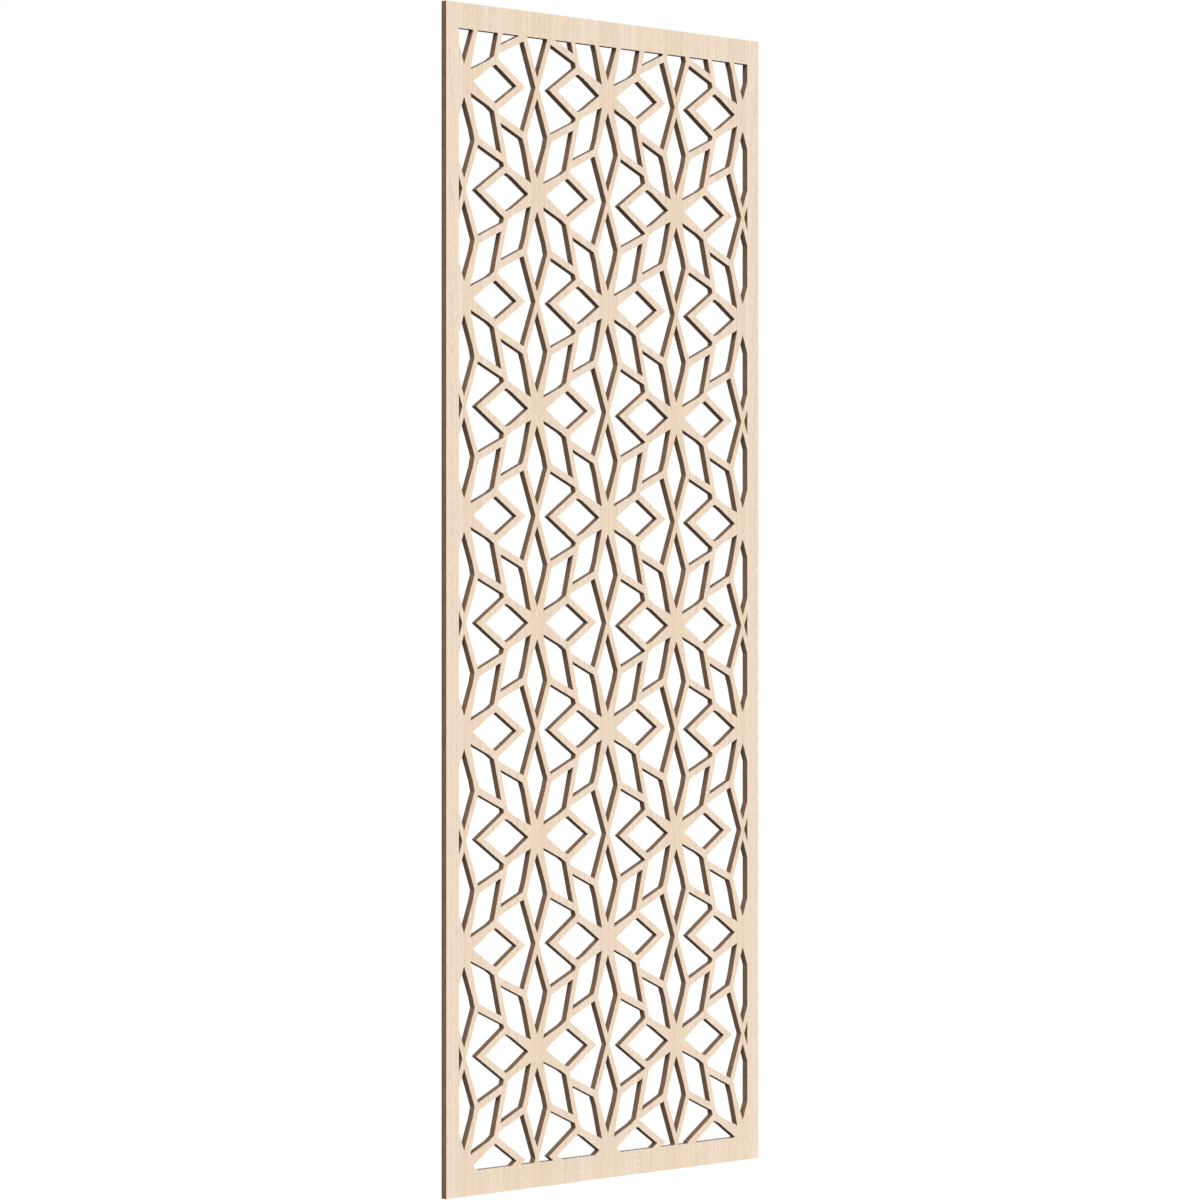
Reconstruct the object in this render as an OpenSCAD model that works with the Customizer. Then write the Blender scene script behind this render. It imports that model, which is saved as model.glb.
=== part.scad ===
// Fretwork wall panel: one flat board, veneered on both sides and cut through with a lattice of
// eight-petalled rosettes. The panel stands upright, its front faces -Y, and the origin is at the
// middle of its bottom edge. Lengths are in millimetres and angles in degrees.

/* [Panel] */
// Width of the whole panel
panel_w = 594; // [450:1:900]
// Height of the whole panel
panel_h = 1584; // [700:1:2400]
// Thickness of the whole panel, veneers included
panel_t = 9.5; // [6:0.1:25]
// Solid margin at each side of the pattern
stile_w = 22.4; // [15:0.1:60]
// Solid margin above the pattern
top_rail_h = 34.2; // [15:0.1:90]
// Solid margin below the pattern
bottom_rail_h = 33.3; // [15:0.1:90]

/* [Veneer] */
// Thickness of the veneer on the front
front_veneer_t = 0.6; // [0.4:0.1:1.5]
// Thickness of the veneer on the back
back_veneer_t = 0.6; // [0.4:0.1:1.5]
// How much narrower a full leaf of veneer is than the distance between columns of rosettes
leaf_inset = 6.9; // [0:0.1:9]
// How far the middle joint between leaves stands to the right of the panel's centre line
middle_joint_x = 1.5; // [-5:0.1:5]

/* [Lattice] */
// Distance from the pattern's side edge in to the centre line of the outer column
outer_column_inset = 9.4; // [2:0.1:18]
// Distance from the tip of a sideways petal to the centre line of the next column
neck_w = 37.7; // [34:0.1:55]
// Height between the lowest tip of a rosette and the highest tip of the next one down its column
row_gap = 27.4; // [12:0.1:60]
// How far every second column's rosettes sit above the half-way height between their neighbours
stagger_lift = 0.8; // [0:0.1:10]
// How far the columns right of the middle one sit below those on its left
right_drop = 4.8; // [0:0.1:12]
// Distance from the pattern's top edge down to the first rosette of the middle column
first_row = 68.6; // [0:0.1:140]

/* [Rosette] */
// How much the drawing is stretched upright, so that a round rosette becomes an oval one
stretch = 1.375; // [1:0.005:1.6]
// Distance from a rosette's centre to the inner tip of its petals, before the stretch
hub_r = 15.8; // [10:0.1:22]
// Distance between the side corners of neighbouring petals, before the cut and the stretch
petal_gap = 5.8; // [3:0.1:12]
// How far back along a petal's inner edges its side corners are cut off, before the stretch
corner_cut = 9.4; // [2:0.1:14]
// Width of the bars round the petals, before the stretch
bar_w = 7.1; // [5:0.1:10]

/* [Hidden] */

core_colour = "#6b5240";
veneer_colour = "#edd9c5";
// Petals in a rosette, and the turn from one to the next
petals = 8;
petal_turn = 360 / petals;
// Columns of rosettes on each side of the middle one
side_columns = 2;
// Leaves of veneer on each side of the board: their joints run through the rosettes' hubs
leaves = 2 * side_columns + 2;
front_y = -panel_t / 2;
back_y = panel_t / 2;
pattern_w = panel_w - 2 * stile_w;
pattern_h = panel_h - top_rail_h - bottom_rail_h;
pattern_top = panel_h - top_rail_h;
// Distance between neighbouring columns
column_pitch = (pattern_w / 2 - outer_column_inset) / side_columns;
// Size of a petal opening, before its side corners are cut off and before the stretch
petal_len = column_pitch - neck_w - hub_r;
petal_half_w = (hub_r + petal_len / 2) * tan(petal_turn / 2) - petal_gap / 2 / cos(petal_turn / 2);
// Distance from one rosette to the next one down its column, and the rows that the pattern takes
row_pitch = 2 * stretch * (hub_r + petal_len) + row_gap;
rows = ceil(pattern_h / row_pitch) + 1;
// How far every second column's rosettes sit below those of the middle one
stagger = row_pitch / 2 - stagger_lift;
leaf_w = column_pitch - leaf_inset;

// A point turned about the rosette's centre
function turned(p, angle) = [
    p.x * cos(angle) - p.y * sin(angle),
    p.x * sin(angle) + p.y * cos(angle)
];

// Far side of the bar that runs along a petal's outer edge, as a point and a direction.
// The edge is the one on the left (side 1) or right (side -1) of a petal that points along angle.
function bar_line(angle, side, centre = [0, 0]) =
    let (corner = turned([hub_r + petal_len / 2, side * petal_half_w], angle))
    let (along = turned([hub_r + petal_len, 0], angle) - corner)
    let (outward = side * [-along.y, along.x] / norm(along))
    [centre + corner + bar_w * outward, along];

// Point where two such lines cross
function crossing(a, b) = a[0] + a[1] * cross(b[0] - a[0], b[1]) / cross(a[1], b[1]);

// Corners of a fan opening above its axis, from its inner tip outwards. The fan lies beside a
// rosette, and neighbour is the centre of the next column's rosette above it.
function fan_corners(neighbour) =
    let (own_petal = bar_line(0, 1))
    let (own_arm = bar_line(petal_turn, -1))
    let (next_petal = bar_line(180 + petal_turn, 1, neighbour))
    let (plain = crossing(own_petal, next_petal))
    let (blunt = cross(own_arm[1], plain - own_arm[0]) > 0)
    concat(
        blunt ? [crossing(own_petal, own_arm), crossing(own_arm, next_petal)] : [plain],
        [crossing(next_petal, bar_line(270, -1, neighbour))]
    );

// Corners of the petal opening that points along angle. Each side corner of its kite shape is cut
// off along a line through the rosette's centre.
function petal(angle) =
    let (inner_tip = [hub_r, 0])
    let (outer_tip = [hub_r + petal_len, 0])
    let (corner = [hub_r + petal_len / 2, petal_half_w])
    let (inner_cut = corner + corner_cut * (inner_tip - corner) / norm(inner_tip - corner))
    let (outer_cut = crossing([[0, 0], inner_cut], [corner, outer_tip - corner]))
    [
        turned(inner_tip, angle),
        turned(inner_cut, angle),
        turned(outer_cut, angle),
        turned(outer_tip, angle),
        turned([outer_cut.x, -outer_cut.y], angle),
        turned([inner_cut.x, -inner_cut.y], angle)
    ];

// Outline of a fan opening that points along +X. above and below are the heights from its
// rosette to the next column's rosettes above and below.
function fan(above, below) =
    let (upper = fan_corners([column_pitch, above]))
    let (lower = [for (p = fan_corners([column_pitch, below])) [p.x, -p.y]])
    let (inner_tip = crossing(bar_line(0, 1), bar_line(0, -1)))
    let (outer_tip = crossing(
        bar_line(270, -1, [column_pitch, above]),
        bar_line(90, 1, [column_pitch, -below])
    ))
    concat([inner_tip], upper, [outer_tip], [for (i = [len(lower) - 1 : -1 : 0]) lower[i]]);

// How far a column's rosettes sit below those of the middle column
function column_drop(column) = (column % 2 == 0 ? 0 : stagger) + (column > 0 ? right_drop : 0);

// Height from a column's rosette up to the next rosette of the column beside it
function rise(column, beside) =
    let (drop = (column_drop(column) - column_drop(beside)) / row_pitch)
    row_pitch * (drop - ceil(drop) + 1);

module stretched(points, mirrored = 1) {
    polygon([for (p = points) [mirrored * p.x, stretch * p.y]]);
}

// All openings that belong to one rosette: its petals, and the fans on its left and right
module rosette_openings(column) {
    for (i = [0 : petals - 1]) {
        stretched(petal(i * petal_turn));
    }
    for (side = [-1, 1]) {
        above = rise(column, column + side);
        stretched(fan(above / stretch, (row_pitch - above) / stretch), side);
    }
}

// The cut pattern, ended square by the margins round it
module pattern() {
    intersection() {
        translate([-pattern_w / 2, bottom_rail_h]) {
            square([pattern_w, pattern_h]);
        }
        for (column = [-side_columns - 1 : side_columns + 1], row = [-1 : rows]) {
            drop = first_row + column_drop(column) + row * row_pitch;
            translate([column * column_pitch, pattern_top - drop]) {
                rosette_openings(column);
            }
        }
    }
}

// A sheet as tall as the panel with the pattern cut through, from left to right and from its
// front surface back through its thickness
module cut_sheet(left, right, front, thickness) {
    translate([0, front + thickness, 0]) {
        rotate([90, 0, 0]) {
            linear_extrude(thickness) {
                difference() {
                    translate([left, 0]) {
                        square([right - left, panel_h]);
                    }
                    pattern();
                }
            }
        }
    }
}

// Joint on the left of a leaf, or the panel's own edge at either end of the row
function joint_x(leaf) =
    leaf == 1 ? -panel_w / 2 :
    leaf > leaves ? panel_w / 2 :
    middle_joint_x + (leaf - 1 - leaves / 2) * leaf_w;

module core_board() {
    color(core_colour) {
        cut_sheet(-panel_w / 2, panel_w / 2, front_y + front_veneer_t,
            panel_t - front_veneer_t - back_veneer_t);
    }
}

// Leaves are numbered from the left, seen from the front
module front_leaf(leaf) {
    color(veneer_colour) {
        cut_sheet(joint_x(leaf), joint_x(leaf + 1), front_y, front_veneer_t);
    }
}

module back_leaf(leaf) {
    color(veneer_colour) {
        cut_sheet(joint_x(leaf), joint_x(leaf + 1), back_y - back_veneer_t, back_veneer_t);
    }
}

core_board();
front_leaf(1);  // front_leaf_1
front_leaf(2);  // front_leaf_2
front_leaf(3);  // front_leaf_3
front_leaf(4);  // front_leaf_4
front_leaf(5);  // front_leaf_5
front_leaf(6);  // front_leaf_6
back_leaf(1);  // back_leaf_1
back_leaf(2);  // back_leaf_2
back_leaf(3);  // back_leaf_3
back_leaf(4);  // back_leaf_4
back_leaf(5);  // back_leaf_5
back_leaf(6);  // back_leaf_6
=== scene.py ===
import math

import bpy
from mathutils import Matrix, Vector


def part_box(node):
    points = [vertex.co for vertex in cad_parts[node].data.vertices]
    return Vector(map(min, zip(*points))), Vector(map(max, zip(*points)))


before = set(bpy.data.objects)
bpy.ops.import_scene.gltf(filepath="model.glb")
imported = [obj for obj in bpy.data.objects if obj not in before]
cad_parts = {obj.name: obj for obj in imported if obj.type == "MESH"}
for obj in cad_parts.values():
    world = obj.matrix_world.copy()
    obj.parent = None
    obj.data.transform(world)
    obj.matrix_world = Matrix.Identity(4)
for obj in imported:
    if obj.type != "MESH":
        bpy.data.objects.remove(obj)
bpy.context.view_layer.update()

# Core board
# The core is one sheet of fibreboard with the whole lattice cut through it. Veneer hides its two
# faces, so what shows of it is its cut edge, scorched brown by the cutting beam and ridged across
# where the beam moved along.
ridge_relief = 0.00006


def wood_colour(red, green, blue):
    """A colour given as 0 to 255 screen values, as the linear values that a shader takes."""
    shares = [value / 255 for value in (red, green, blue)]
    return [s / 12.92 if s <= 0.04045 else ((s + 0.055) / 1.055) ** 2.4 for s in shares] + [1]


def put(tree, kind, inputs=None, **settings):
    """Add a shader node with its settings; inputs gives its sockets a value or a link each."""
    node = tree.nodes.new("ShaderNode" + kind)
    for name, value in settings.items():
        setattr(node, name, value)
    for socket, value in (inputs or {}).items():
        if isinstance(value, bpy.types.NodeSocket):
            tree.links.new(value, node.inputs[socket])
        else:
            node.inputs[socket].default_value = value
    return node


def reckon(tree, operation, a, b=0.0, c=0.0):
    """The result of one step of arithmetic on numbers or sockets."""
    return put(tree, "Math", {0: a, 1: b, 2: c}, operation=operation).outputs[0]


def weighed(tree, *parts):
    """The sum of the parts, each of them a number or socket and the weight it is multiplied by."""
    total = 0.0
    for part, weight in parts:
        total = reckon(tree, "MULTIPLY_ADD", part, weight, total)
    return total


def spread(tree, value, low=0.0, high=1.0, to_low=0.0, to_high=1.0):
    """The value carried from one range to another, and held at that range's ends."""
    sockets = {0: value, 1: low, 2: high, 3: to_low, 4: to_high}
    return put(tree, "MapRange", sockets).outputs[0]


def blended(tree, share, a, b):
    """Colour a where share is 0 and colour b where it is 1."""
    return put(tree, "Mix", {0: share, 6: a, 7: b}, data_type="RGBA").outputs[2]


def sized(tree, position, wide, deep, tall):
    """The position counted in patches of the given sizes, in millimetres along x, y and z. A size
    of 0 leaves that axis out."""
    scale = [1000 / size if size else 0 for size in (wide, deep, tall)]
    return put(tree, "VectorMath", {0: position, 1: scale}, operation="MULTIPLY").outputs[0]


def clouds(tree, vector, detail=1.0, roughness=0.5):
    """Smooth noise about 0.5, with patches about one unit of the vector across."""
    sockets = {"Vector": vector, "Scale": 1.0, "Detail": detail, "Roughness": roughness}
    return put(tree, "TexNoise", sockets).outputs["Fac"]


def new_group(name, inputs, outputs):
    """A node group with the named sockets, as its tree, its inputs and its output node."""
    tree = bpy.data.node_groups.new(name, "ShaderNodeTree")
    for direction, sockets in (("INPUT", inputs), ("OUTPUT", outputs)):
        for socket, kind in sockets.items():
            tree.interface.new_socket(socket, in_out=direction, socket_type="NodeSocket" + kind)
    return tree, tree.nodes.new("NodeGroupInput").outputs, tree.nodes.new("NodeGroupOutput")


def give_out(tree, end, results):
    """Join each result to the group's output socket of that name."""
    for socket, value in results.items():
        tree.links.new(value, end.inputs[socket])


def place(tree, group, inputs):
    """Place a node group in a material, with its own values."""
    return put(tree, "Group", inputs, node_tree=group).outputs


def scorched_edge_group():
    """Cut edge scorched by a beam that runs straight through the board. The ridges are noise of
    x and z alone, so they cross the edge from front to back. A slow mottle and the fibres' fine
    speckle are noise of all three. The three together pick a brown between dark and light."""
    tree, given, end = new_group(
        "Scorched cut edge",
        {"Position": "Vector", "Dark": "Color", "Light": "Color"},
        {"Color": "Color", "Roughness": "Float", "Height": "Float"},
    )
    spot = given["Position"]
    ridges = clouds(tree, sized(tree, spot, wide=0.7, deep=0, tall=0.7), detail=3.0)
    mottle = clouds(tree, sized(tree, spot, wide=14, deep=9, tall=22), detail=2.0)
    speckle = clouds(tree, sized(tree, spot, wide=0.3, deep=0.3, tall=0.3))
    relief = weighed(tree, (ridges, 0.5), (mottle, 0.3), (speckle, 0.2))
    lightness = spread(tree, relief, low=0.36, high=0.64)
    results = {
        "Color": blended(tree, lightness, given["Dark"], given["Light"]),
        "Roughness": spread(tree, lightness, to_low=0.78, to_high=0.94),
        "Height": relief,
    }
    give_out(tree, end, results)
    return tree


def new_material(name, specular):
    """A material with an empty tree, a Principled shader and the object's own coordinates."""
    material = bpy.data.materials.new(name)
    material.use_nodes = True
    tree = material.node_tree
    tree.nodes.clear()
    shader = put(tree, "BsdfPrincipled", {"Specular IOR Level": specular})
    put(tree, "OutputMaterial", {"Surface": shader.outputs[0]})
    return material, tree, shader, put(tree, "TexCoord").outputs["Object"]


def finish_shader(tree, shader, colour, roughness, height, relief):
    """Join colour, roughness and bump to a shader. relief is the bump's height in metres."""
    bump = put(tree, "Bump", {"Height": height, "Distance": relief})
    tree.links.new(colour, shader.inputs["Base Color"])
    tree.links.new(roughness, shader.inputs["Roughness"])
    tree.links.new(bump.outputs[0], shader.inputs["Normal"])


scorched_edge = scorched_edge_group()
core_finish, tree, shader, position = new_material("scorched fibreboard", specular=0.15)
burn = place(
    tree,
    scorched_edge,
    {
        "Position": position,
        "Dark": wood_colour(90, 70, 53),
        "Light": wood_colour(122, 96, 74),
    },
)
finish_shader(tree, shader, burn["Color"], burn["Roughness"], burn["Height"], ridge_relief)
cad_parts["core_board"].material_slots[0].material = core_finish

# Front veneer
# Six leaves of plain-sliced maple, cut one after another from the same log and laid book-matched:
# every second leaf is turned over, so the figure mirrors at each joint. They are glued to the
# board edge to edge, sanded and left bare, and the beam has browned their cut edges.

# The third leaf is a whole one and ends at the joint nearest the middle.
leaf_low, leaf_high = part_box("front_leaf_3")
leaf_width = leaf_high.x - leaf_low.x
leaf_thickness = leaf_high.y - leaf_low.y
middle_joint = leaf_high.x
half_thickness = -leaf_low.y
arris = 0.00003
grain_relief = 0.00003


def fade(tree, distance, full_within, none_beyond):
    """1 within the first distance from 0, on either side of it, and 0 beyond the second."""
    either_side = reckon(tree, "ABSOLUTE", distance)
    return spread(tree, either_side, low=full_within, high=none_beyond, to_low=1.0, to_high=0.0)


def grain(tree, spot, wide, tall, detail=1.0, roughness=0.5):
    """Noise drawn out upright, in patches of the given width and height in millimetres. The
    spot's y is the leaf's seed, and one unit of it moves the noise by one patch."""
    patches = sized(tree, spot, wide=wide, deep=1000, tall=tall)
    return clouds(tree, patches, detail, roughness)


def growth_rings(tree, beside, sway, slice_number, height):
    """Late wood, 0 to 1: the repeats of the distance from the log's heart, sharpened so that only
    the end of each ring is deep. The heart wanders in depth under the leaf, lies deeper towards
    the top, and is a leaf's thickness deeper under each slice than under the one before."""
    ring_gap = 0.0034
    wander = 0.045
    taper = 0.018
    sharpness = 5.0
    depth = weighed(tree, (slice_number, leaf_thickness), (height, taper), (sway, wander))
    squares = reckon(tree, "MULTIPLY_ADD", beside, beside, reckon(tree, "MULTIPLY", depth, depth))
    rings = reckon(tree, "DIVIDE", reckon(tree, "SQRT", squares), ring_gap)
    return reckon(tree, "POWER", reckon(tree, "FRACT", rings), sharpness)


def nested_arches(tree, beside, sway, slice_number, height):
    """Arches over the heart, where the cut grazes the rings: the repeats of the height plus the
    square of the distance beside the heart. Each deepens upwards to a sharp edge, and they fade
    out on both sides of the heart."""
    arch_gap = 0.0085
    arch_breadth = 0.0018
    wander = 0.08
    slice_shift = 0.013
    curve = reckon(tree, "DIVIDE", reckon(tree, "MULTIPLY", beside, beside), arch_breadth)
    climb = weighed(tree, (curve, 1.0), (height, 1.0), (sway, wander), (slice_number, slice_shift))
    repeats = reckon(tree, "FRACT", reckon(tree, "DIVIDE", climb, arch_gap))
    arches = spread(tree, reckon(tree, "MULTIPLY", repeats, repeats), to_low=-0.5, to_high=1.0)
    return reckon(tree, "MULTIPLY", arches, fade(tree, beside, full_within=0.004, none_beyond=0.011))


def maple_group():
    """Maple figure on book-matched leaves. The distance across a leaf runs forwards on one leaf
    and backwards on the next. The log's heart runs up near the middle of each leaf and sways
    from side to side. Growth rings, nested arches, a pale streak beside the arches, deeper wood
    towards the leaf's edges, broad bands and narrow stripes that run nearly straight over the
    whole height, and short fibres add up to a tone between pale and deep, and a flush of warmer
    colour comes and goes over it. The pores are the peaks of a fine noise, and a hairline shows
    where two leaves meet."""
    tree, given, end = new_group(
        "Book-matched maple",
        {
            "Position": "Vector",
            "Leaf Width": "Float",
            "Middle Joint": "Float",
            "Seed": "Float",
            "Pale": "Color",
            "Deep": "Color",
            "Flush": "Color",
        },
        {"Color": "Color", "Roughness": "Float", "Height": "Float"},
    )
    heart_share = 0.54
    heart_sway = 0.02
    streak_offset = 0.0065
    pore_shade = 0.35
    pore_depth = 0.8
    joint_shade = 0.9

    axes = put(tree, "SeparateXYZ", {"Vector": given["Position"]}).outputs
    from_joint = reckon(tree, "SUBTRACT", axes["X"], given["Middle Joint"])
    across = reckon(tree, "PINGPONG", from_joint, given["Leaf Width"])
    slice_number = reckon(tree, "FLOOR", reckon(tree, "DIVIDE", from_joint, given["Leaf Width"]))
    height = axes["Z"]
    spot = put(tree, "CombineXYZ", {"X": across, "Y": given["Seed"], "Z": height}).outputs[0]

    sway = grain(tree, spot, wide=60, tall=1100, detail=2.0)
    bands = grain(tree, spot, wide=25, tall=6000)
    stripes = grain(tree, spot, wide=2.8, tall=2400)
    fibres = grain(tree, spot, wide=1.2, tall=12, detail=2.0, roughness=0.6)
    pores = spread(tree, grain(tree, spot, wide=0.3, tall=4, detail=0.0), low=0.62, high=0.78)
    blush = grain(tree, spot, wide=22, tall=3000)

    beside = weighed(tree, (given["Leaf Width"], -heart_share), (across, 1.0), (sway, heart_sway))
    beside_streak = reckon(tree, "ADD", beside, streak_offset)
    tone = weighed(
        tree,
        (spread(tree, bands, low=0.3, high=0.7), 0.4),
        (spread(tree, stripes, low=0.25, high=0.75), 0.85),
        (spread(tree, fibres, low=0.25, high=0.75), 0.88),
        (growth_rings(tree, beside, sway, slice_number, height), 0.26),
        (nested_arches(tree, beside, sway, slice_number, height), 1.0),
        (fade(tree, beside_streak, full_within=0.0008, none_beyond=0.003), -0.55),
        (spread(tree, reckon(tree, "ABSOLUTE", beside), low=0.042, high=0.056), 0.08),
    )
    colour = blended(tree, spread(tree, tone, low=0.75, high=1.54), given["Pale"], given["Deep"])
    flush = spread(tree, blush, low=0.35, high=0.7, to_high=0.6)
    colour = blended(tree, flush, colour, given["Flush"])
    colour = blended(tree, reckon(tree, "MULTIPLY", pores, pore_shade), colour, given["Deep"])
    to_next_joint = reckon(tree, "SUBTRACT", given["Leaf Width"], across)
    to_joint = reckon(tree, "MINIMUM", across, to_next_joint)
    hairline = fade(tree, to_joint, full_within=0.00006, none_beyond=0.00014)
    colour = blended(tree, reckon(tree, "MULTIPLY", hairline, joint_shade), colour, given["Deep"])
    results = {
        "Color": colour,
        "Roughness": spread(tree, fibres, low=0.2, high=0.8, to_low=0.52, to_high=0.68),
        "Height": weighed(tree, (fibres, 1.0), (pores, -pore_depth)),
    }
    give_out(tree, end, results)
    return tree


def either(tree, share, a, b):
    """The number a where share is 0 and the number b where it is 1."""
    return put(tree, "Mix", {0: share, 2: a, 3: b}).outputs[0]


def maple_finish(name, seed, pale, deep, flush):
    """Maple on the leaf's face and the scorched brown on its cut edge. The face is what lies
    within a hair's breadth of the panel's surface."""
    material, tree, shader, position = new_material(name, specular=0.3)
    wood = place(
        tree,
        maple,
        {
            "Position": position,
            "Leaf Width": leaf_width,
            "Middle Joint": middle_joint,
            "Seed": seed,
            "Pale": pale,
            "Deep": deep,
            "Flush": flush,
        },
    )
    burn = place(
        tree,
        scorched_edge,
        {
            "Position": position,
            "Dark": wood_colour(96, 75, 57),
            "Light": wood_colour(127, 100, 78),
        },
    )
    depth = put(tree, "SeparateXYZ", {"Vector": position}).outputs["Y"]
    from_middle = reckon(tree, "ABSOLUTE", depth)
    face = reckon(tree, "GREATER_THAN", from_middle, half_thickness - arris)
    colour = blended(tree, face, burn["Color"], wood["Color"])
    roughness = either(tree, face, burn["Roughness"], wood["Roughness"])
    height = either(tree, face, burn["Height"], wood["Height"])
    finish_shader(tree, shader, colour, roughness, height, grain_relief)
    return material


def finish_leaves(side, finish):
    """Give every leaf on one side of the board its finish."""
    for name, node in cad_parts.items():
        if name.startswith(side):
            node.material_slots[0].material = finish


maple = maple_group()
front_finish = maple_finish(
    "bare maple, front",
    seed=5.92,
    pale=wood_colour(245, 229, 212),
    deep=wood_colour(225, 203, 175),
    flush=wood_colour(243, 218, 193),
)
finish_leaves("front_leaf", front_finish)

# Back veneer
# Six more maple leaves, from the plainer end of the log, keep the board from warping. They are
# laid with their joints behind the front ones.
back_finish = maple_finish(
    "bare maple, back",
    seed=9.15,
    pale=wood_colour(241, 223, 204),
    deep=wood_colour(224, 199, 169),
    flush=wood_colour(241, 214, 187),
)
finish_leaves("back_leaf", back_finish)

# Floor
# A plain white studio floor. What the camera sees of it is mostly glow, with a small share of lit
# paint, so that it is white and still takes the panel's soft shadow. The light that it throws back
# up at the panel is that of a mid-grey floor.
floor_reach = 60.0
floor_glow = 0.9
lit_share = 0.12
mid_grey = 0.3


def grey(level):
    """A neutral colour, from 0 for black to 1 for white."""
    return (level, level, level, 1)


def surroundings_seen(tree):
    """1 for what the camera sees directly, in a reflection or through glass, and 0 for light."""
    path = put(tree, "LightPath").outputs
    seen = reckon(tree, "MAXIMUM", path["Is Camera Ray"], path["Is Glossy Ray"])
    return reckon(tree, "MAXIMUM", seen, path["Is Transmission Ray"])


floor_mesh = bpy.data.meshes.new("floor")
corners = [(x * floor_reach, y * floor_reach, 0) for x, y in ((-1, -1), (1, -1), (1, 1), (-1, 1))]
floor_mesh.from_pydata(corners, [], [(0, 1, 2, 3)])
floor = bpy.data.objects.new("floor", floor_mesh)
bpy.context.scene.collection.objects.link(floor)
floor_paint = bpy.data.materials.new("white floor")
floor_paint.use_nodes = True
tree = floor_paint.node_tree
tree.nodes.clear()
lit_paint = put(tree, "BsdfDiffuse", {"Color": grey(lit_share)}).outputs[0]
glow = put(tree, "Emission", {"Strength": floor_glow}).outputs[0]
seen_floor = put(tree, "AddShader", {0: lit_paint, 1: glow}).outputs[0]
grey_floor = put(tree, "BsdfDiffuse", {"Color": grey(mid_grey)}).outputs[0]
both = put(tree, "MixShader", {0: surroundings_seen(tree), 1: grey_floor, 2: seen_floor}).outputs[0]
put(tree, "OutputMaterial", {"Surface": both})
floor_mesh.materials.append(floor_paint)

# Light
# A broad soft lamp stands in front of the panel, to its left and above. Another stands behind it on
# the right, low down, and lights its back as brightly. The surroundings themselves are seen as white.
lamp_degrees = 50
room_level = 0.1


def soft_lamp(name, strength, towards):
    """A lamp that is lamp_degrees wide, as seen from the panel, and far off in the direction
    given. Its strength is in watts a square metre."""
    lamp = bpy.data.objects.new(name, bpy.data.lights.new(name, "SUN"))
    lamp.data.energy = strength
    lamp.data.angle = math.radians(lamp_degrees)
    bpy.context.scene.collection.objects.link(lamp)
    lamp.rotation_mode = "QUATERNION"
    lamp.rotation_quaternion = Vector(towards).to_track_quat("Z", "Y")


soft_lamp("front lamp", strength=4.5, towards=(-0.56, -0.52, 0.64))
soft_lamp("back lamp", strength=4.1, towards=(0.69, 0.69, 0.2))

room = bpy.data.worlds.new("studio")
bpy.context.scene.world = room
room.use_nodes = True
tree = room.node_tree
tree.nodes.clear()
dim = put(tree, "Background", {"Color": grey(1), "Strength": room_level}).outputs[0]
white = put(tree, "Background", {"Color": grey(1), "Strength": 1.0}).outputs[0]
both = put(tree, "MixShader", {0: surroundings_seen(tree), 1: dim, 2: white}).outputs[0]
put(tree, "OutputWorld", {"Surface": both})

# Camera
# It stands level with the middle of the panel, in front of it and well to its left. Its place in
# metres, its turn in degrees and its lens in millimetres set the panel as the photograph does.
camera_place = (-4.0002, -4.1429, 0.7918)
camera_turn = -43.921
camera_lens = 126.02

camera = bpy.data.objects.new("camera", bpy.data.cameras.new("camera"))
camera.data.lens = camera_lens
camera.location = camera_place
camera.rotation_euler = (math.radians(90), 0, math.radians(camera_turn))
bpy.context.scene.collection.objects.link(camera)
bpy.context.scene.camera = camera
bpy.context.scene.view_settings.view_transform = "Standard"
